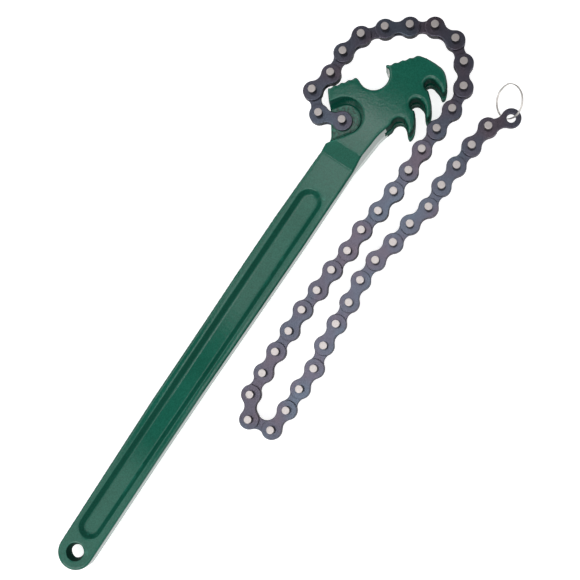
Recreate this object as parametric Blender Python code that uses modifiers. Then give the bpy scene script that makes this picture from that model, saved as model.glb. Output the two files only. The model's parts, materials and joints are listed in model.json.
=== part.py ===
"""A chain wrench for oil filters: a forged handle with a hooked head, a plate chain and a split ring.

Metres, +Z up. The origin is on the middle of the head's lower face, on which the tool rests. The
handle runs from the head along -X, and the chain lies beside it on the -Y side. Head and handle are
drawn from the anchor pin, about which the chain swings.
"""

import bmesh
import bpy
from math import atan2, cos, degrees, pi, radians, sin, sqrt
from mathutils import Matrix, Vector

MM = 0.001

# The chain: two outer plates riveted on two pins, then an inner plate between them, in turn.
PITCH = 15.875 * MM
PIN_RADIUS = 2.5 * MM
PIN_LENGTH = 18.0 * MM
LOBE_RADIUS = 6.5 * MM
WAIST_WIDTH = 7.3 * MM
OUTER_PLATE = 1.6 * MM
INNER_PLATE = 3.2 * MM
GAP = 0.3 * MM  # between pieces that touch on the real tool
HOLE_ROOM = 0.4 * MM  # added to a pin's radius for the corners of its faceted hole
# How each link lies, in whole degrees from +X, from the anchor pin to the ring.
LINK_HEADINGS = [
    106, 49, -14, 4, -13, -41, -53, -58, -92, -127, -147,
    -173, 176, 178, -178, 178, 176, 172, 180, 174, 178, 176,
    -178, -179, -177, -176, -150, -80, -4, 2, -1, 11, 4,
    3, 7, -3, -11, -8, -14, 3, -3, -3, -7, -34,
]  # fmt: skip
FIRST_PIN_COMING_DOWN = 15
LAST_PIN_COMING_DOWN = 25
SEPARATE_LINKS = (1, 11, 13, 15)  # the anchor link and those by the hooks, in plates and pins

# The split ring in the last link's hole.
RING_RADIUS = 11.15 * MM
RING_WIRE_WIDTH = 0.84 * MM
RING_WIRE_HEIGHT = 1.4 * MM
RING_HEADING = 39  # degrees, from the hole to the ring's middle
RING_LEAN = 46  # degrees from lying flat

# The forged body.
HEAD_THICKNESS = 28.0 * MM
HANDLE_THICKNESS = 13.0 * MM
WEB_THICKNESS = 5.0 * MM
HANDLE_LENGTH = 324.0 * MM  # anchor pin to hang hole
HANDLE_WIDTH = 24.9 * MM
HANDLE_END_RADIUS = 11.5 * MM
HANDLE_TAPER_LENGTH = 108.0 * MM
HANDLE_EDGE = 0.3 * MM  # the handle's +Y edge, from the anchor pin's axis
HANG_HOLE_RIM = 5.9 * MM
HANG_HOLE_THROAT = 4.1 * MM
RAMP_FOOT = -24.0 * MM
RAMP_TOP = -13.8 * MM
WEB_RIM_RADIUS = 8.9 * MM
WEB_FLOOR_RADIUS = 4.7 * MM
WEB_END_FROM_HOLE = 19.6 * MM
WEB_END_FROM_RAMP = 31.8 * MM

# The anchor recess, a drafted U open to the side, with the lug left in the middle.
RECESS_CENTRE = (2.0 * MM, -1.3 * MM)
RECESS_RIM_RADIUS = 12.3 * MM
RECESS_FLOOR_RADIUS = 9.6 * MM
RECESS_HEADING = 144

# The jaw: two rows of small teeth with a round notch between them.
JAW_CORNER = (11.4 * MM, 18.3 * MM)
JAW_FIRST_TIP = (26.9 * MM, 7.0 * MM)
JAW_SECOND_TIP = (44.4 * MM, -5.9 * MM)
JAW_PEAK = (59.2 * MM, -18.1 * MM)
JAW_TEETH = 4
TOOTH_DEPTH = 0.8 * MM
JAW_NOTCH_CENTRE = (34.0 * MM, -2.1 * MM)
JAW_NOTCH_RADIUS = 9.9 * MM
JAW_NOTCH_ENDS = (-26, -214)  # degrees

# The hooks, cut by round notches and a slot that takes the chain's plates.
NOTCHES = [(15.5 * MM, -33.5 * MM), (32.2 * MM, -35.2 * MM), (47.4 * MM, -35.7 * MM)]
NOTCH_RADII = [4.7 * MM, 3.9 * MM, 3.7 * MM]
SLOT_PLAY = 0.8 * MM  # on each side of the chain's plates
SLOT_FLOOR = -23.5 * MM
SLOT_END = 7.5 * MM
SLOT_CORNER = 5.0 * MM

# The anchor pin's place from the origin on the head's lower face.
ANCHOR_PIN = (-36.0 * MM, 21.0 * MM)

FAR = 0.1  # a cutter's reach past what it cuts

MID = HEAD_THICKNESS / 2
PLATE_STACK = INNER_PLATE + 2 * (GAP + OUTER_PLATE)
PLATE_OFFSET = (PLATE_STACK - OUTER_PLATE) / 2
FLOOR_HEIGHT = PIN_LENGTH / 2  # the chain's mid-plane where its pins stand on the floor
HOLE_RADIUS = PIN_RADIUS + HOLE_ROOM

GREEN = ("forging_paint", (0.045, 0.160, 0.115), 0.35, 0.0)
BLUED = ("blued_plate", (0.065, 0.062, 0.080), 0.40, 0.9)
STEEL = ("bright_pin", (0.620, 0.585, 0.560), 0.35, 0.9)
SILVER = ("ring_wire", (0.660, 0.640, 0.610), 0.25, 1.0)


def clear_scene():
    for thing in list(bpy.data.objects):
        bpy.data.objects.remove(thing)


def collection(name):
    made = bpy.data.collections.new(name)
    bpy.context.scene.collection.children.link(made)
    return made


def material(name, colour, roughness, metallic):
    made = bpy.data.materials.get(name)
    if made is None:
        made = bpy.data.materials.new(name)
        made.use_nodes = True
        shader = made.node_tree.nodes["Principled BSDF"]
        shader.inputs["Base Color"].default_value = (*colour, 1)
        shader.inputs["Roughness"].default_value = roughness
        shader.inputs["Metallic"].default_value = metallic
        made.diffuse_color = (*colour, 1)
    return made


def arc(centre, radius, start, end, steps):
    """Points on a circle from one angle to another, in degrees."""
    turn = [radians(start + (end - start) * n / steps) for n in range(steps + 1)]
    return [(centre[0] + radius * cos(a), centre[1] + radius * sin(a)) for a in turn]


def circle(centre, radius, sides):
    """A round outline with a flat side, not a corner, to each quarter."""
    half = 180 / sides
    return arc(centre, radius, half, 360 + half, sides)[:-1]


def teeth(start, end, count, depth):
    """A saw edge from one tip to another, with its valleys on the left of the way."""
    start, end = Vector(start), Vector(end)
    step = (end - start) / count
    inward = Vector((-step.y, step.x)).normalized() * depth
    points = []
    for n in range(count):
        tip = start + step * n
        points += [tip, tip + step * 0.72 + inward]
    return [tuple(p) for p in points + [end]]


def mesh_of(thing):
    """A curve's or a modified object's mesh, with its loose caps welded."""
    graph = bpy.context.evaluated_depsgraph_get()
    made = bpy.data.meshes.new_from_object(thing.evaluated_get(graph))
    shape = bmesh.new()
    shape.from_mesh(made)
    bmesh.ops.remove_doubles(shape, verts=shape.verts, dist=1e-6)
    bmesh.ops.recalc_face_normals(shape, faces=shape.faces)
    shape.to_mesh(made)
    shape.free()
    return made


def add(name, mesh, group, paint=None):
    mesh.name = name
    made = bpy.data.objects.new(name, mesh)
    group.objects.link(made)
    if paint:
        mesh.materials.clear()
        mesh.materials.append(material(*paint))
    else:
        made.hide_render = True
        made.display_type = "WIRE"
    return made


def flat(name, outlines, thickness, group, middle=0.0, paint=None):
    """A flat piece: the first outline is its edge and the others are its holes."""
    drawn = bpy.data.curves.new(name, "CURVE")
    drawn.dimensions = "2D"
    drawn.fill_mode = "BOTH"
    drawn.extrude = thickness / 2
    for outline in outlines:
        spline = drawn.splines.new("POLY")
        spline.points.add(len(outline) - 1)
        for point, (x, y) in zip(spline.points, outline):
            point.co = (x, y, 0, 1)
        spline.use_cyclic_u = True
    thing = bpy.data.objects.new(name, drawn)
    group.objects.link(thing)
    mesh = mesh_of(thing)
    bpy.data.objects.remove(thing)
    bpy.data.curves.remove(drawn)
    mesh.transform(Matrix.Translation((0, 0, middle)))
    return add(name, mesh, group, paint)


def tapered(name, low, low_height, high, high_height, group):
    """A drafted plug between two outlines of as many points."""
    shape = bmesh.new()
    rings = []
    for outline, height in ((low, low_height), (high, high_height)):
        rings.append([shape.verts.new((x, y, height)) for x, y in outline])
    for ring in rings:
        shape.faces.new(ring)
    for n in range(len(low)):
        m = (n + 1) % len(low)
        shape.faces.new((rings[0][n], rings[0][m], rings[1][m], rings[1][n]))
    bmesh.ops.recalc_face_normals(shape, faces=shape.faces)
    mesh = bpy.data.meshes.new(name)
    shape.to_mesh(mesh)
    shape.free()
    return add(name, mesh, group)


def rod(name, radius, length, sides, group, at=(0, 0, 0), paint=None):
    shape = bmesh.new()
    bmesh.ops.create_cone(
        shape, cap_ends=True, segments=sides, radius1=radius, radius2=radius, depth=length
    )
    turn = Matrix.Rotation(pi / sides, 4, "Z")
    bmesh.ops.transform(shape, matrix=Matrix.Translation(at) @ turn, verts=shape.verts)
    mesh = bpy.data.meshes.new(name)
    shape.to_mesh(mesh)
    shape.free()
    return add(name, mesh, group, paint)


def turned(name, profile, group):
    """A round plug from a profile of (radius, height) that runs from top to bottom."""
    mesh = bpy.data.meshes.new(name)
    points = [(radius, 0, height) for radius, height in profile]
    mesh.from_pydata(points, [(n, n + 1) for n in range(len(points) - 1)], [])
    made = add(name, mesh, group)
    screw = made.modifiers.new("turn", "SCREW")
    screw.steps = screw.render_steps = 24
    screw.use_merge_vertices = True
    screw.merge_threshold = 0.00001
    return made


def cut(thing, tool, how="DIFFERENCE"):
    step = thing.modifiers.new(tool.name, "BOOLEAN")
    step.operation = how
    step.object = tool
    step.solver = "EXACT"


def place(thing, frame, parent=None):
    """Set a thing in the world, from its parent where it has one."""
    thing.parent = parent
    thing.matrix_local = parent.matrix_world.inverted() @ frame if parent else frame
    bpy.context.view_layer.update()


def handle_outline():
    """The handle's end and edges, from the lower edge at the head round to the upper one."""
    low = HANDLE_EDGE - HANDLE_WIDTH
    hole = (-HANDLE_LENGTH, low + HANDLE_END_RADIUS)
    end = arc(hole, HANDLE_END_RADIUS, 90, 270, 12)
    shoulder = (-HANDLE_LENGTH + HANDLE_TAPER_LENGTH, HANDLE_EDGE)
    return [shoulder] + end + [(RAMP_TOP, low)]


def head_outline():
    """From the neck along the hooks, over the jaw and down the anchor side."""
    neck = [(2.5, -26.1), (8.0, -27.4)]
    hook_3 = [(18.9, -36.4), (16.8, -39.2), (13.5, -42.1), (13.7, -43.6), (15.4, -43.9),
              (18.4, -43.2), (22.7, -40.6)]  # fmt: skip
    hook_2 = [(35.6, -38.4), (33.8, -41.1), (28.6, -44.8), (28.6, -46.2), (31.0, -46.6),
              (35.2, -44.7), (39.2, -41.7)]  # fmt: skip
    hook_1 = [(50.0, -40.4), (48.3, -43.3), (46.2, -45.3), (46.5, -46.6), (48.4, -46.8),
              (50.8, -46.0), (54.0, -44.0), (57.2, -41.2), (60.0, -37.6), (60.8, -31.6),
              (60.6, -25.3)]  # fmt: skip
    side = [(3.9, 11.8), (-13.5, -0.3)]
    n3, n2, n1 = (
        arc(centre, radius, start, end, 7)
        for centre, radius, start, end in zip(NOTCHES, NOTCH_RADII, (115, 200, 195), (-10, -20, -30))
    )
    notch = arc(JAW_NOTCH_CENTRE, JAW_NOTCH_RADIUS, *JAW_NOTCH_ENDS, 12)
    right = teeth(JAW_PEAK, JAW_SECOND_TIP, JAW_TEETH, TOOTH_DEPTH)
    left = teeth(JAW_FIRST_TIP, JAW_CORNER, JAW_TEETH, TOOTH_DEPTH)

    def real(points):
        return [(x * MM, y * MM) for x, y in points]

    return (
        real(neck) + n3 + real(hook_3) + n2 + real(hook_2) + n1 + real(hook_1)
        + right + notch + left + real(side)
    )  # fmt: skip


def stadium(start, end, radius, steps=8):
    """An outline with round ends about two points at one height."""
    return arc(start, radius, 90, 270, steps) + arc(end, radius, -90, 90, steps)


def recess_outline(radius):
    """A U about the anchor pin that runs out of the head's side."""
    back = arc(RECESS_CENTRE, radius, RECESS_HEADING - 270, RECESS_HEADING - 90, 12)
    ahead = Vector((cos(radians(RECESS_HEADING)), sin(radians(RECESS_HEADING)))) * FAR
    return back + [tuple(Vector(back[-1]) + ahead), tuple(Vector(back[0]) + ahead)]


def slot_outline():
    """The chain's slot: a straight floor, with a round corner at the neck."""
    turn = arc((SLOT_END + SLOT_CORNER, SLOT_FLOOR - SLOT_CORNER), SLOT_CORNER, 180, 90, 4)
    return [(SLOT_END, SLOT_FLOOR - FAR)] + turn + [(FAR, SLOT_FLOOR), (FAR, SLOT_FLOOR - FAR)]


def make_body(group, cutters, frame):
    """The forging: its plan cut by its side view, then its pockets, holes and slot."""
    outline = handle_outline() + head_outline()
    body = flat("wrench_body", [outline], HEAD_THICKNESS, group, MID, GREEN)
    place(body, frame)
    half = HANDLE_THICKNESS / 2
    past_face = MM
    past_top = RAMP_TOP + past_face * (RAMP_TOP - RAMP_FOOT) / (MID - half)
    upper = [(-HANDLE_LENGTH - FAR, half), (RAMP_FOOT, half), (past_top, MID + past_face), (FAR, MID + past_face)]
    side_view = [(x, MID + z) for x, z in upper] + [(x, MID - z) for x, z in reversed(upper)]
    profile = flat("side_view", [side_view], 2 * FAR, cutters)
    profile.data.transform(Matrix.Rotation(pi / 2, 4, "X"))
    place(profile, frame)
    cut(body, profile, "INTERSECT")

    handle_middle = HANDLE_EDGE - HANDLE_WIDTH / 2
    hole = (-HANDLE_LENGTH, HANDLE_EDGE - HANDLE_WIDTH + HANDLE_END_RADIUS)
    web_low = (-HANDLE_LENGTH + WEB_END_FROM_HOLE, handle_middle)
    web_high = (RAMP_FOOT - WEB_END_FROM_RAMP, handle_middle)
    for side, sign in (("upper", 1), ("lower", -1)):
        face = MID + sign * half
        floor = MID + sign * WEB_THICKNESS / 2
        slope = (WEB_RIM_RADIUS - WEB_FLOOR_RADIUS) / abs(face - floor)
        web = tapered(
            side + "_web_pocket",
            stadium(web_low, web_high, WEB_FLOOR_RADIUS), floor,
            stadium(web_low, web_high, WEB_RIM_RADIUS + slope * MM), face + sign * MM,
            cutters,
        )  # fmt: skip
        face = MID + sign * MID
        floor = MID + sign * INNER_PLATE / 2
        slope = (RECESS_RIM_RADIUS - RECESS_FLOOR_RADIUS) / abs(face - floor)
        recess = tapered(
            side + "_anchor_recess",
            recess_outline(RECESS_FLOOR_RADIUS), floor,
            recess_outline(RECESS_RIM_RADIUS + slope * MM), face + sign * MM,
            cutters,
        )  # fmt: skip
        for tool in (web, recess):
            place(tool, frame)
            cut(body, tool)

    flare = (HANG_HOLE_RIM - HANG_HOLE_THROAT) / half
    mouth = HANG_HOLE_RIM + flare * MM
    outer = half + MM
    hang = turned(
        "hang_hole",
        [(0, outer), (mouth, outer), (HANG_HOLE_THROAT, 0), (mouth, -outer), (0, -outer)],
        cutters,
    )
    place(hang, frame @ Matrix.Translation((*hole, MID)))
    bore = rod("anchor_bore", HOLE_RADIUS, HEAD_THICKNESS, 12, cutters)
    place(bore, frame @ Matrix.Translation((0, 0, MID)))
    slot = flat("chain_slot", [slot_outline()], PLATE_STACK + 2 * SLOT_PLAY, cutters, MID)
    place(slot, frame)
    for tool in (hang, bore, slot):
        cut(body, tool)
    return body


def plate_outline():
    """A link plate: two round lobes a pitch apart, drawn in at the waist by two arcs."""
    half_waist = WAIST_WIDTH / 2
    # each waist arc touches both lobes, so their centres are as far apart as their radii together
    middle = PITCH / 2
    waist_radius = (middle**2 + half_waist**2 - LOBE_RADIUS**2) / (2 * (LOBE_RADIUS - half_waist))
    lift = half_waist + waist_radius
    angle = degrees(atan2(lift, middle))
    right = arc((PITCH, 0), LOBE_RADIUS, -180 + angle, 180 - angle, 9)
    top = arc((middle, lift), waist_radius, -angle, -180 + angle, 4)[1:-1]
    left = arc((0, 0), LOBE_RADIUS, angle, 360 - angle, 9)
    low = arc((middle, -lift), waist_radius, 180 - angle, angle, 4)[1:-1]
    return right + top + left + low


def pin_height(number):
    """The chain's mid-plane at a pin: level with the head's lug, then down to the floor."""
    span = LAST_PIN_COMING_DOWN - FIRST_PIN_COMING_DOWN
    share = min(max((number - FIRST_PIN_COMING_DOWN) / span, 0), 1)
    return MID + (FLOOR_HEIGHT - MID) * share * share * (3 - 2 * share)


def link_frames():
    """Each link's frame at its first pin, +X to its second pin, and the last pin's hole."""
    here = Vector((*ANCHOR_PIN, pin_height(1)))
    frames = []
    for number, heading in enumerate(LINK_HEADINGS, 1):
        fall = pin_height(number + 1) - pin_height(number)
        run = sqrt(PITCH**2 - fall**2)
        ahead = Vector((run * cos(radians(heading)), run * sin(radians(heading)), fall))
        along = ahead.normalized()
        across = Vector((0, 0, 1)).cross(along).normalized()
        turn = Matrix((along, across, along.cross(across))).transposed().to_4x4()
        frames.append(Matrix.Translation(here) @ turn)
        here = here + ahead
    return frames, here


def outer_link_mesh(group, cutters):
    """Two plates and two pins joined, as riveting joins them."""
    link = rod("outer_link", PIN_RADIUS, PIN_LENGTH, 8, group, paint=BLUED)
    parts = [rod("second_pin", PIN_RADIUS, PIN_LENGTH, 8, cutters, (PITCH, 0, 0))]
    for side in (1, -1):
        parts.append(flat("plate", [plate_outline()], OUTER_PLATE, cutters, side * PLATE_OFFSET))
    for part in parts:
        cut(link, part, "UNION")
    bpy.context.view_layer.update()
    mesh = mesh_of(link)
    for thing in [link] + parts:
        bpy.data.objects.remove(thing)
    return mesh


def make_chain(group, cutters):
    frames, hole = link_frames()
    outer = outer_link_mesh(group, cutters)
    outlines = [plate_outline()] + [circle((x, 0), HOLE_RADIUS, 10) for x in (0, PITCH)]
    pieces = {
        "upper_plate": flat("upper_plate", outlines, OUTER_PLATE, group, PLATE_OFFSET, BLUED),
        "lower_plate": flat("lower_plate", outlines, OUTER_PLATE, group, -PLATE_OFFSET, BLUED),
        "first_pin": rod("first_pin", PIN_RADIUS, PIN_LENGTH, 8, group, paint=STEEL),
        "second_pin": rod("second_pin", PIN_RADIUS, PIN_LENGTH, 8, group, (PITCH, 0, 0), STEEL),
    }
    inner = flat("inner_plate", outlines, INNER_PLATE, group, 0, BLUED)
    last = None
    for number, frame in enumerate(frames, 1):
        name = f"link_{number:02d}"
        if number % 2 == 0:
            made = [bpy.data.objects.new(name, inner.data)]
        elif number in SEPARATE_LINKS:
            made = [
                bpy.data.objects.new(f"{name}_{kind}", piece.data) for kind, piece in pieces.items()
            ]
        else:
            made = [bpy.data.objects.new(name, outer)]
        for thing in made:
            group.objects.link(thing)
            place(thing, frame, last)
        last = made[0]
    for thing in [inner] + list(pieces.values()):
        bpy.data.objects.remove(thing)
    return last, hole


def make_ring(group, link, hole):
    """The ring, about the hole that it hangs in: its wire runs steeply through the plate."""
    bpy.ops.mesh.primitive_torus_add(
        major_segments=36, minor_segments=8, major_radius=RING_RADIUS, minor_radius=RING_WIRE_WIDTH / 2
    )
    ring = bpy.context.object
    for holder in list(ring.users_collection):
        holder.objects.unlink(ring)
    group.objects.link(ring)
    ring.name = ring.data.name = "split_ring"
    ring.data.materials.append(material(*SILVER))
    ring.data.transform(Matrix.Diagonal((1, 1, RING_WIRE_HEIGHT / RING_WIRE_WIDTH, 1)))
    ring.data.transform(Matrix.Translation((RING_RADIUS, 0, 0)))
    ring.data.shade_smooth()
    lean = Matrix.Rotation(radians(RING_LEAN), 4, "X")
    turn = Matrix.Rotation(radians(RING_HEADING), 4, "Z")
    place(ring, Matrix.Translation(hole) @ turn @ lean.inverted(), link)
    return ring


def main():
    clear_scene()
    wrench = collection("chain_filter_wrench")
    cutters = collection("cutters")
    frame = Matrix.Translation((*ANCHOR_PIN, 0))
    make_body(wrench, cutters, frame)
    link, hole = make_chain(wrench, cutters)
    make_ring(wrench, link, hole)


main()
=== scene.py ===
# %% [markdown]
# # A chain wrench for oil filters
#
# A forged handle ends in a thick head with hooks and small teeth. A plate chain hangs from the
# head, goes round a filter and catches in the hooks by its long pins, and a split ring hangs in the
# chain's last hole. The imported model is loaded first. The wrench could be drawn again from its
# sizes, but the model already knows the place of every pin, so each new piece is put where it says,
# without fitting.

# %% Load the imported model
import json
from math import atan2, copysign, cos, degrees, pi, radians, sin, sqrt

import bpy
from mathutils import Matrix, Vector
from mathutils.kdtree import KDTree


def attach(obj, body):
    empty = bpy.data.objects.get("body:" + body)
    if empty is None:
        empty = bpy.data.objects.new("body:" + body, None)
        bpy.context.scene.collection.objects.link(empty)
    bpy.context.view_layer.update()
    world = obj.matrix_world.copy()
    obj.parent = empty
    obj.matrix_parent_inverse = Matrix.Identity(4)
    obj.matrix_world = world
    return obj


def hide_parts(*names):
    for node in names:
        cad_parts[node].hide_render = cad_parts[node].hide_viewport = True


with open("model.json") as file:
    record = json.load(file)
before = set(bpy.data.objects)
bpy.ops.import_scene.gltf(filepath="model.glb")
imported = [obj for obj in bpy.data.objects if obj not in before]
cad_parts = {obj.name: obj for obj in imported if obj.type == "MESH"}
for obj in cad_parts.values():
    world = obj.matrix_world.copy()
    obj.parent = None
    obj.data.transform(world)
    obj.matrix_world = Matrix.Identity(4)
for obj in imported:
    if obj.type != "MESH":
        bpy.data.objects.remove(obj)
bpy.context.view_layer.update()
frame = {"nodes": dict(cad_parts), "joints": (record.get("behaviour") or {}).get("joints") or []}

MM = 0.001
LINKS = 44
hinges = {joint["name"]: joint for joint in frame["joints"]}
pins = [Vector(hinges[f"pivot_{number:02d}"]["pos_m"]) for number in range(1, LINKS + 1)]
last_hole = Vector(hinges["ring_swing"]["pos_m"])
bpy.ops.object.select_all(action="DESELECT")
print("chain pins in the model:", len(pins))

# %% [markdown]
# ## The camera
#
# The photograph looks almost straight down, from three quarters of a metre above the table. The
# camera could be aimed at the middle of the tool with a constraint, but a fitted place with its own
# three axes repeats the photograph's slant and roll exactly, so those are given.

# %% Camera
CAMERA_PLACE, LENS, SENSOR_WIDTH = (-0.14126, -0.12763, 0.77306), 74.48, 36
VIEW_RIGHT = Vector((0.55893, -0.81931, -0.12768))
VIEW_UP = Vector((0.82919, 0.55308, 0.08073))
VIEW_BACK = Vector((0.00448, -0.15099, 0.98852))


def standing(place, right, up, back):
    """The matrix of a place with its own three axes."""
    return Matrix.Translation(place) @ Matrix((right, up, back)).transposed().to_4x4()


bpy.ops.object.camera_add()
camera = bpy.context.object
camera.data.lens = LENS
camera.data.sensor_width = SENSOR_WIDTH
camera.matrix_world = standing(CAMERA_PLACE, VIEW_RIGHT, VIEW_UP, VIEW_BACK)
bpy.context.scene.camera = camera
print("camera height in mm:", round(camera.location.z / MM))

# %% [markdown]
# ## The room
#
# The tool was photographed in soft white light. A white world all round would be the simplest room,
# but glossy paint mirrors it and pockets and plates lose their depth. So the room is dim, with one
# paler band from 24 to 46 degrees above the horizon, which the rounded edges and the tool's sides
# catch. A paler horizon would grey the pocket's slopes, which mirror what is low.

# %% Helpers for nodes
def wired(tree, kind, **values):
    """Adds a node and sets or links its sockets, by name with _ for a space."""
    made = tree.nodes.new(kind)
    for name, value in values.items():
        if hasattr(made, name):
            setattr(made, name, value)
            continue
        socket = made.inputs[name.replace("_", " ")]
        if isinstance(value, bpy.types.NodeSocket):
            tree.links.new(value, socket)
        else:
            socket.default_value = value
    return made


def ramp(tree, factor, stops):
    """Colours by a value, from a list of (place, colour)."""
    made = wired(tree, "ShaderNodeValToRGB", Fac=factor)
    band = made.color_ramp
    while len(band.elements) < len(stops):
        band.elements.new(0.5)
    for element, (place, colour) in zip(band.elements, stops):
        element.position = place
        element.color = (*colour, 1)
    return made.outputs["Color"]


# %% The room
DIM, PALE = (0.1, 0.1, 0.1), (0.42, 0.42, 0.42)
bpy.context.scene.view_settings.view_transform = "Standard"
sky = bpy.data.worlds.new("white_room")
sky.use_nodes = True
room = sky.node_tree
way = wired(room, "ShaderNodeTexCoord").outputs["Generated"]
height = wired(room, "ShaderNodeSeparateXYZ", Vector=way).outputs["Z"]
band = ramp(room, height, [(0.40, DIM), (0.48, PALE), (0.60, PALE), (0.72, DIM)])
room.links.new(band, room.nodes["Background"].inputs["Color"])
bpy.context.scene.world = sky
print("room:", sky.name)

# %% [markdown]
# ## The lights
#
# One lamp overhead would whiten every flat face, because paint and steel mirror what is above them.
# So two large panels light the tool from its sides and two from the handle's end, all outside what
# the flat faces mirror towards the camera. Seven small ones overhead are seen as a sheen, each on
# its own part: the handle, the neck, the handle's end and three stretches of the chain.

# %% Lights
SHEEN_HEIGHT = 1.5


def panel(name, place, size, brightness, aim):
    """A soft rectangular light of an even brightness, turned towards a point."""
    bpy.ops.object.light_add(type="AREA", location=place)
    lamp = bpy.context.object
    lamp.name = name
    lamp.data.shape = "RECTANGLE"
    lamp.data.size, lamp.data.size_y = size
    lamp.data.energy = brightness * pi * size[0] * size[1]
    lamp.rotation_euler = (Vector(aim) - Vector(place)).to_track_quat("-Z", "Y").to_euler()


panel("near_panel", (-0.35, -0.65, 1.5), (2.0, 0.7), 1.75, (-0.25, 0, 0))
panel("far_panel", (-0.35, 1.0, 1.5), (2.0, 0.7), 1.75, (-0.25, 0, 0))
panel("end_panel", (-1.4, 0.0, 1.6), (1.0, 0.6), 4.6, (-0.15, 0, 0))
panel("low_end_panel", (-2.3, 0.0, 0.75), (1.6, 1.0), 0.35, (-0.1, 0, 0))
for name, x, y, size, brightness in (
    ("sheen_on_handle", -0.12, 0.31, (0.30, 0.2), 1.1),
    ("sheen_below_neck", 0.09, 0.28, (0.13, 0.15), 1.75),
    ("sheen_on_neck", 0.192, 0.272, (0.052, 0.13), 3.8),
    ("sheen_on_bend", -0.31, 0.06, (0.24, 0.26), 2.9),
    ("sheen_on_runs", -0.105, 0.06, (0.17, 0.26), 1.9),
    ("sheen_on_free_end", 0.1, 0.06, (0.24, 0.26), 2.35),
    ("sheen_on_end", -0.83, 0.22, (0.5, 0.45), 1.0),
):
    panel(name, (x, y, SHEEN_HEIGHT), size, brightness, (x, y, 0))

# %% [markdown]
# ## The table
#
# The table is white and shows hardly a shadow. A stronger light would whiten it, but the tool too,
# so the sheet glows a little by itself. That also gives steep walls their light lower line. It is
# very wide, so that no dark edge of it is mirrored in the paint.

# %% Table
TABLE_WIDTH, TABLE_DROP = 60, 0.0002
bpy.ops.mesh.primitive_plane_add(size=TABLE_WIDTH, location=(0, 0, -TABLE_DROP))
floor = bpy.context.object
floor.name = "floor"
white = bpy.data.materials.new("white_table")
white.use_nodes = True
paper = white.node_tree.nodes["Principled BSDF"]
paper.inputs["Base Color"].default_value = (0.7, 0.7, 0.7, 1)
paper.inputs["Roughness"].default_value = 0.9
paper.inputs["Emission Color"].default_value = (1, 1, 1, 1)
paper.inputs["Emission Strength"].default_value = 0.8
floor.data.materials.append(white)
print("table:", white.name)

# %% [markdown]
# ## The green paint
#
# The forging is sprayed with a thick glossy green that lies in small ripples with fine specks. It
# is paler on raised edges, partly where the paint is thin and partly as a painted highlight, and
# darker in corners and on slopes as a painted shade. A picture could be wrapped round the piece,
# but noise on its own coordinates has no seams. The same spray makes three paints: the clean one, a
# pitted one for the lug, which was left as the die made it, and a dull one with its colour halved
# as a painted shade, for the walls of the slot and the hang hole and one side of the handle.

# %% Helpers for finishes
def finish(name, metallic, roughness):
    """A new material with its tree, its shader and the piece's own coordinates."""
    made = bpy.data.materials.new(name)
    made.use_nodes = True
    shader = made.node_tree.nodes["Principled BSDF"]
    shader.inputs["Metallic"].default_value = metallic
    shader.inputs["Roughness"].default_value = roughness
    where = wired(made.node_tree, "ShaderNodeTexCoord").outputs["Object"]
    return made, made.node_tree, shader, where


def mottle(tree, where, scale, detail=2.0, rough=0.5):
    """Soft noise from 0 to 1, finer with its scale."""
    return wired(
        tree, "ShaderNodeTexNoise", Vector=where, Scale=scale, Detail=detail, Roughness=rough
    ).outputs["Fac"]


def tinted(tree, colour, layer):
    """A colour times a layer over it."""
    return wired(
        tree, "ShaderNodeMix", data_type="RGBA", blend_type="MULTIPLY",
        Factor=1.0, A=colour, B=layer,
    ).outputs["Result"]


def dulled(tree, shader, factor, low, high):
    """A roughness between two values."""
    gloss = wired(tree, "ShaderNodeMapRange", Value=factor, To_Min=low, To_Max=high)
    tree.links.new(gloss.outputs["Result"], shader.inputs["Roughness"])


def dented(tree, shader, height, strength, depth):
    """Dents too fine for the mesh, with their depth in metres."""
    dents = wired(tree, "ShaderNodeBump", Height=height, Strength=strength, Distance=depth)
    tree.links.new(dents.outputs["Normal"], shader.inputs["Normal"])


# %% Green paint
THIN_COAT, THICK_COAT = (0.0066, 0.109, 0.071), (0.0084, 0.125, 0.083)
NEUTRAL_TINT = (1, 1, 1)


def sprayed(name, gloss, strength=1.0, speck=1200.0, dark=0.74):
    """Green paint with a lowest and highest roughness; dark is the tone of its specks."""
    made, tree, shader, where = finish(name, 0.0, gloss[0])
    thin, thick = [[part * strength for part in coat] for coat in (THIN_COAT, THICK_COAT)]
    colour = ramp(tree, mottle(tree, where, 30.0, 3.0), [(0.35, thin), (0.65, thick)])
    # Paler on raised edges, partly thin worn paint and partly a painted highlight; darker in
    # creases and corners, a painted shade.
    edge = wired(tree, "ShaderNodeNewGeometry").outputs["Pointiness"]
    worn_edge_highlight_and_crease_shade = ramp(tree, edge, [
        (0.44, (0.5, 0.6, 0.6)), (0.495, NEUTRAL_TINT), (0.51, NEUTRAL_TINT), (0.56, (2.0, 1.4, 1.45)),
    ])
    pale = 2.04 - dark
    specks = ramp(tree, mottle(tree, where, speck, 1.0), [
        (0.3, (dark, dark + 0.12, dark + 0.12)), (0.7, (pale, pale - 0.14, pale - 0.14)),
    ])
    # Steeper faces, such as the pockets' slopes, are darkened: a painted shade.
    upright = wired(tree, "ShaderNodeTexCoord").outputs["Normal"]
    lean = wired(tree, "ShaderNodeSeparateXYZ", Vector=upright).outputs["Z"]
    level = wired(tree, "ShaderNodeMath", operation="ABSOLUTE", Value=lean).outputs["Value"]
    painted_slope_shade = ramp(tree, level, [(0.70, (0.78, 0.78, 0.78)), (0.79, NEUTRAL_TINT)])
    for layer in (worn_edge_highlight_and_crease_shade, specks, painted_slope_shade):
        colour = tinted(tree, colour, layer)
    tree.links.new(colour, shader.inputs["Base Color"])
    ripples = mottle(tree, where, 850.0)
    dulled(tree, shader, ripples, *gloss)
    dented(tree, shader, ripples, 0.3, 0.0001)
    return made, shader


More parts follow.
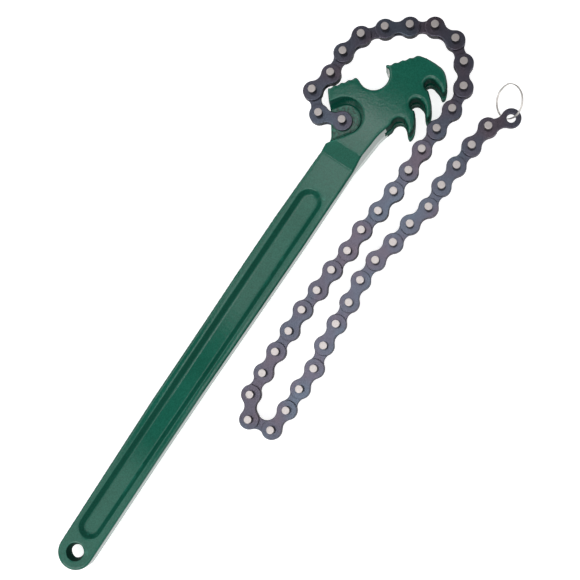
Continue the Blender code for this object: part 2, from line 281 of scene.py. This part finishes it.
green, shader = sprayed("green_paint", (0.05, 0.1))
pitted, shader = sprayed("pitted_paint", (0.06, 0.2), speck=650.0, dark=0.3)
# This paint's colour is halved as a painted shade for the walls it goes on.
matte_shaded, shader = sprayed("matte_shaded_paint", (0.6, 0.75), strength=0.5)
shader.inputs["Specular IOR Level"].default_value = 0.05
print("made", green.name, pitted.name, "and", matte_shaded.name)

# %% [markdown]
# ## The blued plates
#
# The plates are steel that was blued in a furnace, so they run from blue to violet and brown. Each
# link could get its own colour, but one wide noise on the chain's coordinates changes along the
# links and across them, as the real colours do.

# %% Blued plates
blued, tree, shader, where = finish("furnace_blue", 0.85, 0.4)
heat = ramp(tree, mottle(tree, where, 45.0), [
    (0.32, (0.104, 0.128, 0.172)), (0.46, (0.104, 0.113, 0.152)),
    (0.56, (0.112, 0.107, 0.144)), (0.70, (0.128, 0.106, 0.136)),
])
grain = mottle(tree, where, 2600.0)
streaks = ramp(tree, grain, [(0.3, (0.72, 0.72, 0.74)), (0.7, (1.3, 1.28, 1.26))])
tree.links.new(tinted(tree, heat, streaks), shader.inputs["Base Color"])
dulled(tree, shader, grain, 0.18, 0.30)
dented(tree, shader, grain, 0.25, 0.00004)
print("made", blued.name)

# %% [markdown]
# ## The black rims
#
# The stamped rims of the plates and the sides of the pins keep a black scale, and are made darker
# still as painted shade, for the shadows where the plates overlap and round the pins, so a dark
# line is drawn round every link. The plates' material could find the rims by itself, but a second
# one that is put on the steep faces is simpler and stays crisp.

# %% Black rims
# Near black, partly the real black scale and partly painted shade where the plates overlap and
# round the pins.
black, tree, shader, where = finish("scale_and_shade_black", 0.3, 0.5)
scale_and_shade_tone = ramp(tree, mottle(tree, where, 900.0), [
    (0.35, (0.018, 0.016, 0.019)), (0.65, (0.044, 0.040, 0.047)),
])
tree.links.new(scale_and_shade_tone, shader.inputs["Base Color"])
shader.inputs["Specular IOR Level"].default_value = 0.2
print("made", black.name)

# %% [markdown]
# ## The bare metal
#
# The pins' ends are bright steel, a little darker on the links round the head as a painted shade,
# and the ring is plated wire. A mirror would be wrong for all three, because the cut ends are
# finely scratched, so they are rather rough metals with a shade that varies a little.

# %% Bare metal
def bare(name, light, dark, roughness):
    """Bare metal with fine scratches."""
    made, tree, shader, where = finish(name, 1.0, roughness)
    scratches = mottle(tree, where, 2600.0, 2.0, 0.6)
    shade = ramp(tree, scratches, [(0.35, dark), (0.6, light)])
    tree.links.new(shade, shader.inputs["Base Color"])
    dented(tree, shader, scratches, 0.2, 0.00003)
    return made


steel = bare("bright_steel", (0.68, 0.63, 0.615), (0.56, 0.515, 0.505), 0.36)
# The darker pin ends, for the links round the head, are painted shade.
shaded_pin_ends = bare("shaded_steel", (0.60, 0.555, 0.54), (0.50, 0.46, 0.45), 0.38)
silver = bare("ring_silver", (0.86, 0.84, 0.81), (0.66, 0.63, 0.60), 0.34)
print("made", steel.name, shaded_pin_ends.name, "and", silver.name)

# %% [markdown]
# ## Tools of the bench
#
# Nearly every piece starts as a flat blank: a disc whose corners are moved to the outline. A traced
# curve would do as well, but a disc is a mesh at once, so the same few edit mode tools, inset and
# extrude, turn it into a drafted block or a plate. All of the forging is drawn in millimetres from
# the anchor pin, at the mid-plane.

# %% Blanks
def blank(name, outline, height):
    """A flat face with its corners on an outline in mm, looking up, in edit mode."""
    bpy.ops.object.select_all(action="DESELECT")
    bpy.ops.mesh.primitive_circle_add(vertices=len(outline), radius=1, fill_type="NGON")
    thing = bpy.context.object
    thing.name = thing.data.name = name
    for corner, (x, y) in zip(thing.data.vertices, outline):
        corner.co = (x * MM, y * MM, height * MM)
    thing.data.update()
    bpy.ops.object.mode_set(mode="EDIT")
    bpy.ops.mesh.select_all(action="SELECT")
    if thing.data.polygons[0].normal.z < 0:
        bpy.ops.mesh.flip_normals()
    return thing


def closed(thing):
    """Turns all faces outwards and leaves edit mode."""
    bpy.ops.mesh.select_all(action="SELECT")
    bpy.ops.mesh.normals_make_consistent(inside=False)
    bpy.ops.object.mode_set(mode="OBJECT")
    return thing


def plug(name, outline, height, depth, draft):
    """A block that is drawn in by its draft over its depth, up or down from a height, in mm."""
    thing = blank(name, outline, height)
    bpy.ops.mesh.inset(thickness=draft * MM, depth=depth * MM, use_even_offset=True)
    bpy.ops.mesh.select_mode(type="EDGE")
    bpy.ops.mesh.select_all(action="DESELECT")
    bpy.ops.mesh.select_non_manifold()
    bpy.ops.mesh.edge_face_add()
    return closed(thing)


def plate(name, outline, low, thickness):
    """A flat piece from one height up, in mm."""
    thing = blank(name, outline, low)
    bpy.ops.mesh.extrude_region_move(TRANSFORM_OT_translate={"value": (0, 0, thickness * MM)})
    return closed(thing)


# %% Finishing and cutting
def done(thing, step):
    """Applies a modifier."""
    bpy.ops.object.select_all(action="DESELECT")
    thing.select_set(True)
    bpy.context.view_layer.objects.active = thing
    bpy.ops.object.modifier_apply(modifier=step.name)


def carve(thing, tool, how="DIFFERENCE"):
    """Cuts a tool's shape out of a thing, and throws the tool away."""
    step = thing.modifiers.new(tool.name, "BOOLEAN")
    step.operation = how
    step.object = tool
    step.solver = "EXACT"
    done(thing, step)
    bpy.data.objects.remove(tool)


# %% [markdown]
# ## The forging's outline
#
# In plan the forging is a straight handle with a round end, a neck, three hooks, and a jaw with two
# rows of teeth. The hooks are free curves between round notches. Their corners are listed and
# then cut off a few times, which gives soft curves like those of a worn die, with no need for
# handles on a spline.

# %% Curves of the outline
TOOTH_LEAN = 0.72


def arc(centre, radius, start, end, steps):
    """Points round a centre, from one angle to another in degrees."""
    turns = [radians(start + (end - start) * n / steps) for n in range(steps + 1)]
    return [(centre[0] + radius * cos(a), centre[1] + radius * sin(a)) for a in turns]


def teeth(start, end, count, depth):
    """Leaning saw teeth from one point to another."""
    start, end = Vector(start), Vector(end)
    step = (end - start) / count
    inward = Vector((-step.y, step.x)).normalized() * depth
    points = []
    for n in range(count):
        tip = start + step * n
        points += [tuple(tip), tuple(tip + step * TOOTH_LEAN + inward)]
    return points + [tuple(end)]


def eased(points, reach):
    """Cuts off every corner, each time by less, so that it turns in small steps."""
    for share in (1, 0.4, 0.15):
        smoother = []
        for n, here in enumerate(points):
            here = Vector(here)
            for other in (Vector(points[n - 1]), Vector(points[(n + 1) % len(points)])):
                way = other - here
                cut = min(reach * share, way.length * 0.3)
                smoother.append(tuple(here + way.normalized() * cut))
        points = smoother
    return points


# %% Outline
HANDLE_END, HANDLE_END_RADIUS = (-324.0, -13.1), 11.7
LUG_SIDE = (3.8, 12.0), (-13.5, -0.3)
CORNER_CUT = 1.3
handle_plan = (
    [(-75, 1.1), (-110, 1.2), (-150, 0.9), (-216, 0.8)]
    + arc(HANDLE_END, HANDLE_END_RADIUS, 90, 270, 28)
    + [(-285, -24.4), (-240, -24.1), (-190, -24.1), (-140, -24.6), (-80, -25.1), (-13.8, -24.8)]
)
neck_plan = [(2.5, -26.1), (8.0, -27.4)]
hook_3 = [(18.9, -36.4), (17.2, -38.7), (14.2, -40.8), (14.3, -42.2),
          (16.0, -42.6), (18.6, -42.4), (22.7, -40.6)]
hook_2 = [(35.6, -38.4), (33.8, -41.1), (28.6, -44.8), (28.6, -46.2),
          (31.0, -46.6), (35.2, -44.7), (39.2, -41.7)]
hook_1 = [(50.0, -40.4), (48.8, -42.8), (47.1, -44.5), (47.4, -45.8), (49.2, -46.1), (51.3, -45.4),
          (54.0, -44.0), (57.2, -41.2), (60.0, -37.6), (60.8, -31.6), (60.6, -25.3)]
jaw_nose = [(42.9, -5.2), (42.0, -5.8), (41.9, -6.8)]
head_plan = (
    neck_plan
    + arc((15.5, -33.5), 4.7, 115, -10, 16) + hook_3
    + arc((32.2, -35.2), 3.9, 200, -20, 20) + hook_2
    + arc((47.4, -35.7), 3.7, 195, -30, 20) + hook_1
    + teeth((59.2, -18.1), (44.2, -5.7), 4, 1.5) + jaw_nose
    + arc((34.0, -2.1), 9.9, -32, -214, 28)
    + teeth((26.9, 7.0), (11.4, 18.3), 4, 1.7)
    + [*LUG_SIDE]
)
outline = eased(handle_plan + head_plan, CORNER_CUT)
print("corners on the outline:", len(outline))

# %% [markdown]
# ## The forging's blank
#
# The forging could be lofted from sections, but two outlines say it all: the plan is extruded as
# thick as the head, and the side view then trims the handle to less than half of that, with the
# ramp between them. The die's draft comes last, when all edges are round.

# %% Blank of the forging
HEAD_HALF, HANDLE_HALF, WEB_HALF, LUG_HALF = 14.0, 6.5, 3.0, 1.6
RAMP_FOOT, RAMP_TOP = -24.0, -13.8
BEHIND, AHEAD, BESIDE = -350, 80, 60
SPARE = 1
forging = plate("forging", outline, -HEAD_HALF, 2 * HEAD_HALF)
over = RAMP_TOP + SPARE * (RAMP_TOP - RAMP_FOOT) / (HEAD_HALF - HANDLE_HALF)
upper = [(BEHIND, HANDLE_HALF), (RAMP_FOOT, HANDLE_HALF),
         (over, HEAD_HALF + SPARE), (AHEAD, HEAD_HALF + SPARE)]
lower = [(x, -z) for x, z in upper]
trim = plate("side_view", lower + upper[::-1], -BESIDE, 2 * BESIDE)
trim.data.transform(Matrix.Rotation(pi / 2, 4, "X"))
carve(forging, trim, "INTERSECT")
print("blank:", len(forging.data.polygons), "faces")

# %% [markdown]
# ## Pockets and recesses
#
# Each face of the handle has a long pocket with sloping walls, which leaves a thin web. A U-shaped
# recess in each face of the head leaves the lug that the chain hangs from. Both could be pushed in
# with an inset, but that has to find its faces among the cuts, so drafted plugs are cut away. A
# plug starts a little above the face, and is wider there by what its slope adds.

# %% Pockets and recesses
WEB_LOW, WEB_LOW_RADIUS = (-305.4, -12.15), 7.9
WEB_HIGH, WEB_HIGH_RADIUS = (-55.6, -11.8), 8.6
RECESS, RECESS_RADIUS, RECESS_HEADING, RECESS_REACH = (2.0, -1.3), 12.3, 144, 40
WEB_DRAFT, RECESS_DRAFT = 3.4, 2.7


def stadium(start, start_radius, end, end_radius):
    """Two half circles and the straight sides between them."""
    return arc(start, start_radius, 90, 270, 20) + arc(end, end_radius, -90, 90, 20)


heading = radians(RECESS_HEADING)
ahead = Vector((cos(heading), sin(heading))) * RECESS_REACH
for side in (1, -1):
    deep = HANDLE_HALF - WEB_HALF
    slope = SPARE * WEB_DRAFT / deep
    rim = stadium(WEB_LOW, WEB_LOW_RADIUS + slope, WEB_HIGH, WEB_HIGH_RADIUS + slope)
    top, down = side * (HANDLE_HALF + SPARE), -side * (deep + SPARE)
    carve(forging, plug("web_pocket", rim, top, down, WEB_DRAFT + slope))
    deep = HEAD_HALF - LUG_HALF
    slope = SPARE * RECESS_DRAFT / deep
    back = arc(RECESS, RECESS_RADIUS + slope, RECESS_HEADING - 270, RECESS_HEADING - 90, 28)
    mouth = [tuple(Vector(back[-1]) + ahead), tuple(Vector(back[0]) + ahead)]
    top, down = side * (HEAD_HALF + SPARE), -side * (deep + SPARE)
    carve(forging, plug("recess", back + mouth, top, down, RECESS_DRAFT + slope))
print("pocketed:", len(forging.data.polygons), "faces")

# %% [markdown]
# ## Holes and slot
#
# The hang hole narrows from both faces to the middle, so two cones cut it. The anchor pin's bore is
# drilled, and the slot that takes the chain's plates behind the hooks is milled, so both are cut
# straight. They could be part of the outline only if they went through from top to bottom.

# %% Hang hole, pin bore and slot
HOLE_MOUTH, HOLE_THROAT, BORE = 5.9, 4.1, 2.9
SLOT_CORNER, SLOT_CORNER_RADIUS, SLOT_HALF = (12.5, -28.5), 5, 4.3
SLOT_END, SLOT_TOP, OUT_X, OUT_Y = 7.5, -23.5, 90, -80


def cone(radius_low, radius_high, low, high, centre):
    """An upright cone or rod between two heights, in mm."""
    bpy.ops.object.select_all(action="DESELECT")
    bpy.ops.mesh.primitive_cone_add(
        vertices=48, radius1=radius_low * MM, radius2=radius_high * MM, depth=(high - low) * MM,
        location=(centre[0] * MM, centre[1] * MM, (low + high) / 2 * MM),
    )
    thing = bpy.context.object
    bpy.ops.object.transform_apply(location=True, rotation=True, scale=True)
    return thing


wide = HOLE_MOUTH + (HOLE_MOUTH - HOLE_THROAT) / HANDLE_HALF
carve(forging, cone(HOLE_THROAT, wide, 0, HANDLE_HALF + SPARE, HANDLE_END))
carve(forging, cone(wide, HOLE_THROAT, -HANDLE_HALF - SPARE, 0.01, HANDLE_END))
carve(forging, cone(BORE, BORE, -20, 20, (0, 0)))
corner = arc(SLOT_CORNER, SLOT_CORNER_RADIUS, 180, 90, 12)
slot_plan = [(SLOT_END, OUT_Y)] + corner + [(OUT_X, SLOT_TOP), (OUT_X, OUT_Y)]
carve(forging, plate("plate_slot", slot_plan, -SLOT_HALF, 2 * SLOT_HALF))
print("bored and slotted:", len(forging.data.polygons), "faces")

# %% [markdown]
# ## Soft edges
#
# Forged and sprayed steel has no sharp edge. A bevel fails where many cuts meet, so the whole piece
# is rebuilt in small cubes of equal size and then smoothed a few times, which rounds every edge a
# little and leaves the flat faces flat.

# %% Round all edges
VOXEL = 0.45
step = forging.modifiers.new("forge", "REMESH")
step.mode = "VOXEL"
step.voxel_size = VOXEL * MM
step.use_smooth_shade = True
done(forging, step)
step = forging.modifiers.new("soften", "SMOOTH")
step.factor = 0.5
step.iterations = 3
done(forging, step)
print("rebuilt:", len(forging.data.polygons), "faces")

# %% [markdown]
# ## Outer shoulders and draft
#
# The outer edges of a forging are rounder than the others, and its walls are drafted, so that it
# leaves the die. Sculpting would do, but both follow from a point's place: near the outline the
# faces are let down along a quarter circle, and the outer walls swell towards the mid-plane. Beside
# the lug they don't, because the first link swings close past them.

# %% The way to the outline
RIM_STEP = 0.5
rim = []
for n, here in enumerate(outline):
    here, there = Vector((*here, 0)), Vector((*outline[(n + 1) % len(outline)], 0))
    steps = max(1, round((there - here).length / RIM_STEP))
    rim += [here.lerp(there, part / steps) for part in range(steps)]
nearest = KDTree(len(rim))
for n, spot in enumerate(rim):
    nearest.insert(spot, n)
nearest.balance()
print("points on the rim:", len(rim))

# %% Round the outer shoulders and draft the walls
HEAD_ROUND, HANDLE_ROUND, HOOK_ROUND = 1.6, 1.8, 2.3
HEAD_SWELL, HANDLE_SWELL = 0.6, 0.25
OUTER_WALL = 1.2
LUG_INWARD = (0.579, -0.815)


def between(value, start, end):
    """How far a value is on its way from start to end, from 0 to 1."""
    return min(max((value - start) / (end - start), 0), 1)


leans = [normal.vector.copy() for normal in forging.data.vertex_normals]
for corner, lean in zip(forging.data.vertices, leans):
    x, y, z = corner.co / MM
    up_ramp = between(x, RAMP_FOOT, RAMP_TOP)
    in_hooks = between(x, 6, 14) * between(y, -27, -31)
    face = HANDLE_HALF + (HEAD_HALF - HANDLE_HALF) * up_ramp
    radius = HANDLE_ROUND + (HEAD_ROUND - HANDLE_ROUND) * up_ramp
    radius += (HOOK_ROUND - HEAD_ROUND) * in_hooks
    to_rim = nearest.find((x, y, 0))[2]
    drop = radius - sqrt(radius**2 - (radius - min(to_rim, radius)) ** 2)
    foot = face - 2 * radius
    height = abs(z)
    if 0 < up_ramp < 1 and abs(height - face) < 0.5:
        height = face
    if height > foot:
        height = foot + (height - foot) * (1 - drop / (2 * radius))
    past_lug = LUG_INWARD[0] * (x - LUG_SIDE[1][0]) + LUG_INWARD[1] * (y - LUG_SIDE[1][1])
    swell = (HANDLE_SWELL + (HEAD_SWELL - HANDLE_SWELL) * up_ramp) * (1 - height / face)
    swell *= between(past_lug, 1, 3) if to_rim < OUTER_WALL else 0
    corner.co = Vector((x + lean.x * swell, y + lean.y * swell, copysign(height, z))) * MM
print("shoulders rounded by mm:", HEAD_ROUND, HANDLE_ROUND, HOOK_ROUND)

# %% [markdown]
# ## Thin flat faces and the paint on them
#
# Flat faces don't need a point every half millimetre. Larger cubes would have blurred the teeth, so
# a decimate merges what says nothing, and weighted normals let the large flats lead the shading.
# Then the faces get their paint: dull and darker, the darkness being painted shade, on the walls of
# the slot and the hang hole and on the handle's side towards +Y, pitted on the lug, and clean
# everywhere else.

# %% Thin the flat faces
FORGING_TRIANGLES = 190000


def triangles(thing):
    return sum(len(face.vertices) - 2 for face in thing.data.polygons)


step = forging.modifiers.new("thin", "DECIMATE")
step.ratio = FORGING_TRIANGLES / triangles(forging)
done(forging, step)
step = forging.modifiers.new("flats_lead", "WEIGHTED_NORMAL")
step.weight = 60
done(forging, step)
print("forging:", triangles(forging), "triangles")

# %% Paint the forging
STEEP, LEVEL, HOLE_WALL, LUG_FACE, SHADED_SIDE_END = 0.6, 0.9, 6.2, 2.4, -30
for paint in (green, matte_shaded, pitted):
    forging.data.materials.append(paint)
for face in forging.data.polygons:
    x, y, z = face.center / MM
    in_slot = x > 9 and y < -22
    in_hole = (Vector((x, y)) - Vector(HANDLE_END)).length < HOLE_WALL
    on_shaded_side = x < SHADED_SIDE_END and face.normal.y > STEEP
    # Index 1 is the matte paint, whose halved colour is painted shade.
    if abs(face.normal.z) < STEEP and (in_slot or in_hole or on_shaded_side):
        face.material_index = 1
    elif abs(face.normal.z) > LEVEL and abs(z) < LUG_FACE:
        face.material_index = 2
forging.data.transform(Matrix.Translation(pins[0]))
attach(forging, "wrench")
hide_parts("wrench_body")
print("paints:", [paint.name for paint in forging.data.materials])

# %% [markdown]
# ## The chain's patterns
#
# An outer link is two plates riveted on two long pins, and an inner link is a pair of plates
# between them. All 44 could be modelled in place, but they are alike, so one pattern of each is
# made and copied. A bevel softens the stamped rims, and weighted normals keep the plates flat.

# %% Outline of a plate
PITCH, LOBE, HALF_WAIST = 15.875, 6.5, 3.65
middle = PITCH / 2
waist = (middle**2 + HALF_WAIST**2 - LOBE**2) / (2 * (LOBE - HALF_WAIST))
lift = HALF_WAIST + waist
angle = degrees(atan2(lift, middle))
link_plan = (
    arc((PITCH, 0), LOBE, angle - 180, 180 - angle, 20)
    + arc((middle, lift), waist, -angle, angle - 180, 8)[1:-1]
    + arc((0, 0), LOBE, angle, 360 - angle, 20)
    + arc((middle, -lift), waist, 180 - angle, angle, 8)[1:-1]
)
print("corners on a plate:", len(link_plan))

# %% Link patterns
PLATE_BEVEL, PIN_BEVEL, BEVEL_STEPS = 0.45, 0.25, 4
OUTER_LOWS, OUTER_THICK = (1.9, -3.5), 1.6
INNER_LOWS, INNER_THICK = (0.06, -1.56), 1.5
PIN_RADIUS, PIN_HALF, DRILL_HALF = 2.5, 9, 8
CREASE = radians(40)


def bevelled(thing, width):
    """Rounds the sharp edges, by a width in mm."""
    step = thing.modifiers.new("rim", "BEVEL")
    step.width = width * MM
    step.segments = BEVEL_STEPS
    step.limit_method = "ANGLE"
    step.angle_limit = CREASE
    done(thing, step)


def joined(name, things):
    """Makes one piece of several, shaded smooth but for its flats."""
    bpy.ops.object.select_all(action="DESELECT")
    for thing in things:
        thing.select_set(True)
    whole = bpy.context.view_layer.objects.active = things[0]
    bpy.ops.object.join()
    whole.name = whole.data.name = name
    bpy.ops.object.shade_smooth_by_angle(angle=CREASE)
    done(whole, whole.modifiers.new("flats_lead", "WEIGHTED_NORMAL"))
    return whole


def link_plates(name, lows, thickness, hole=0):
    """Plates of a link at their heights, with a hole at each end if it has a radius."""
    made = []
    for low in lows:
        piece = plate(name, link_plan, low, thickness)
        for x in (0, PITCH) if hole else ():
            carve(piece, cone(hole, hole, -DRILL_HALF, DRILL_HALF, (x, 0)))
        bevelled(piece, PLATE_BEVEL)
        made.append(piece)
    return joined(name, made)


outer_pattern = link_plates("outer_pattern", OUTER_LOWS, OUTER_THICK)
inner_pattern = link_plates("inner_pattern", INNER_LOWS, INNER_THICK, BORE)
rods = [cone(PIN_RADIUS, PIN_RADIUS, -PIN_HALF, PIN_HALF, (x, 0)) for x in (0, PITCH)]
for rod in rods:
    bevelled(rod, PIN_BEVEL)
pin_pattern = joined("pin_pattern", rods)
patterns = outer_pattern, inner_pattern, pin_pattern
print("faces of the patterns:", [len(pattern.data.polygons) for pattern in patterns])

# %% [markdown]
# ## Laying the chain
#
# The links could be spread along a curve, but a curve would stretch them. So each copy is placed in
# its own mesh, from its own pin towards the next one, and rides on its link's body, so it follows
# every hinge before it.

# %% Links
RIM_LEAN, LAST_SHADED_LINK = 0.3, 14


def link_place(here, there):
    """A link's place, along its line from pin to pin."""
    along = (there - here).normalized()
    across = Vector((0, 0, 1)).cross(along).normalized()
    return standing(here, along, across, along.cross(across))


def laid(pattern, name, place, paint, body, nodes):
    """A copy of a pattern at its place, with black rims, on its body."""
    piece = pattern.copy()
    piece.data = pattern.data.copy()
    piece.name = piece.data.name = name
    bpy.context.scene.collection.objects.link(piece)
    piece.data.materials.append(paint)
    piece.data.materials.append(black)
    for face in piece.data.polygons:
        # The near-black rims are partly painted shade.
        face.material_index = int(abs(face.normal.z) < RIM_LEAN)
    piece.data.transform(place)
    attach(piece, body)
    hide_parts(*nodes)


stops = pins + [last_hole]
for number, (here, there) in enumerate(zip(stops, stops[1:]), 1):
    body, place = f"link_{number:02d}", link_place(here, there)
    nodes = [name for name in frame["nodes"] if name.startswith(body)]
    if number % 2 == 0:
        laid(inner_pattern, f"{body}_inner_plates", place, blued, body, nodes)
        continue
    plates = [name for name in nodes if not name.endswith("_pin")]
    laid(outer_pattern, f"{body}_outer_plates", place, blued, body, plates)
    rods = [name for name in nodes if not name.endswith("_plate")]
    # The pin ends round the head are darker, a painted shade.
    ends = shaded_pin_ends if number <= LAST_SHADED_LINK else steel
    laid(pin_pattern, f"{body}_pins", place, ends, body, rods)
for pattern in patterns:
    bpy.data.objects.remove(pattern)
print("links laid:", number)

# %% [markdown]
# ## The split ring
#
# The ring is one wire wound in two close turns. A torus would be one plain turn, so a small round
# section is swept by a screw, which is the way a spring is wound.

# %% Split ring
WIRE, WIRE_SIDES, TURNS, TURN_STEPS = 0.42, 12, 2, 72
RING_RADIUS, RING_HEADING, RING_LEAN = 11.15, 39, 46
TOUCHING = 0.00001
bpy.ops.object.select_all(action="DESELECT")
bpy.ops.mesh.primitive_circle_add(vertices=WIRE_SIDES, radius=WIRE * MM, fill_type="NOTHING")
ring = bpy.context.object
ring.name = ring.data.name = "split_ring_wire"
section = Matrix.Translation((RING_RADIUS * MM, 0, -TURNS * WIRE * MM))
ring.data.transform(section @ Matrix.Rotation(pi / 2, 4, "X"))
step = ring.modifiers.new("wind", "SCREW")
step.angle = 2 * pi
step.iterations = TURNS
step.screw_offset = 2 * WIRE * MM
step.steps = step.render_steps = TURN_STEPS
step.use_merge_vertices = False
done(ring, step)
print("wound:", len(ring.data.polygons), "faces")

# %% Close and hang the ring
bpy.ops.object.mode_set(mode="EDIT")
bpy.ops.mesh.select_all(action="SELECT")
bpy.ops.mesh.remove_doubles(threshold=TOUCHING)
bpy.ops.mesh.fill_holes(sides=0)
closed(ring)
bpy.ops.object.shade_smooth_by_angle(angle=radians(50))
turn = Matrix.Rotation(radians(RING_HEADING), 4, "Z") @ Matrix.Rotation(radians(-RING_LEAN), 4, "X")
hung = Matrix.Translation(last_hole) @ turn @ Matrix.Translation((RING_RADIUS * MM, 0, 0))
ring.data.transform(hung)
ring.data.materials.append(silver)
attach(ring, "ring")
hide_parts("split_ring")
print("ring:", len(ring.data.polygons), "faces")
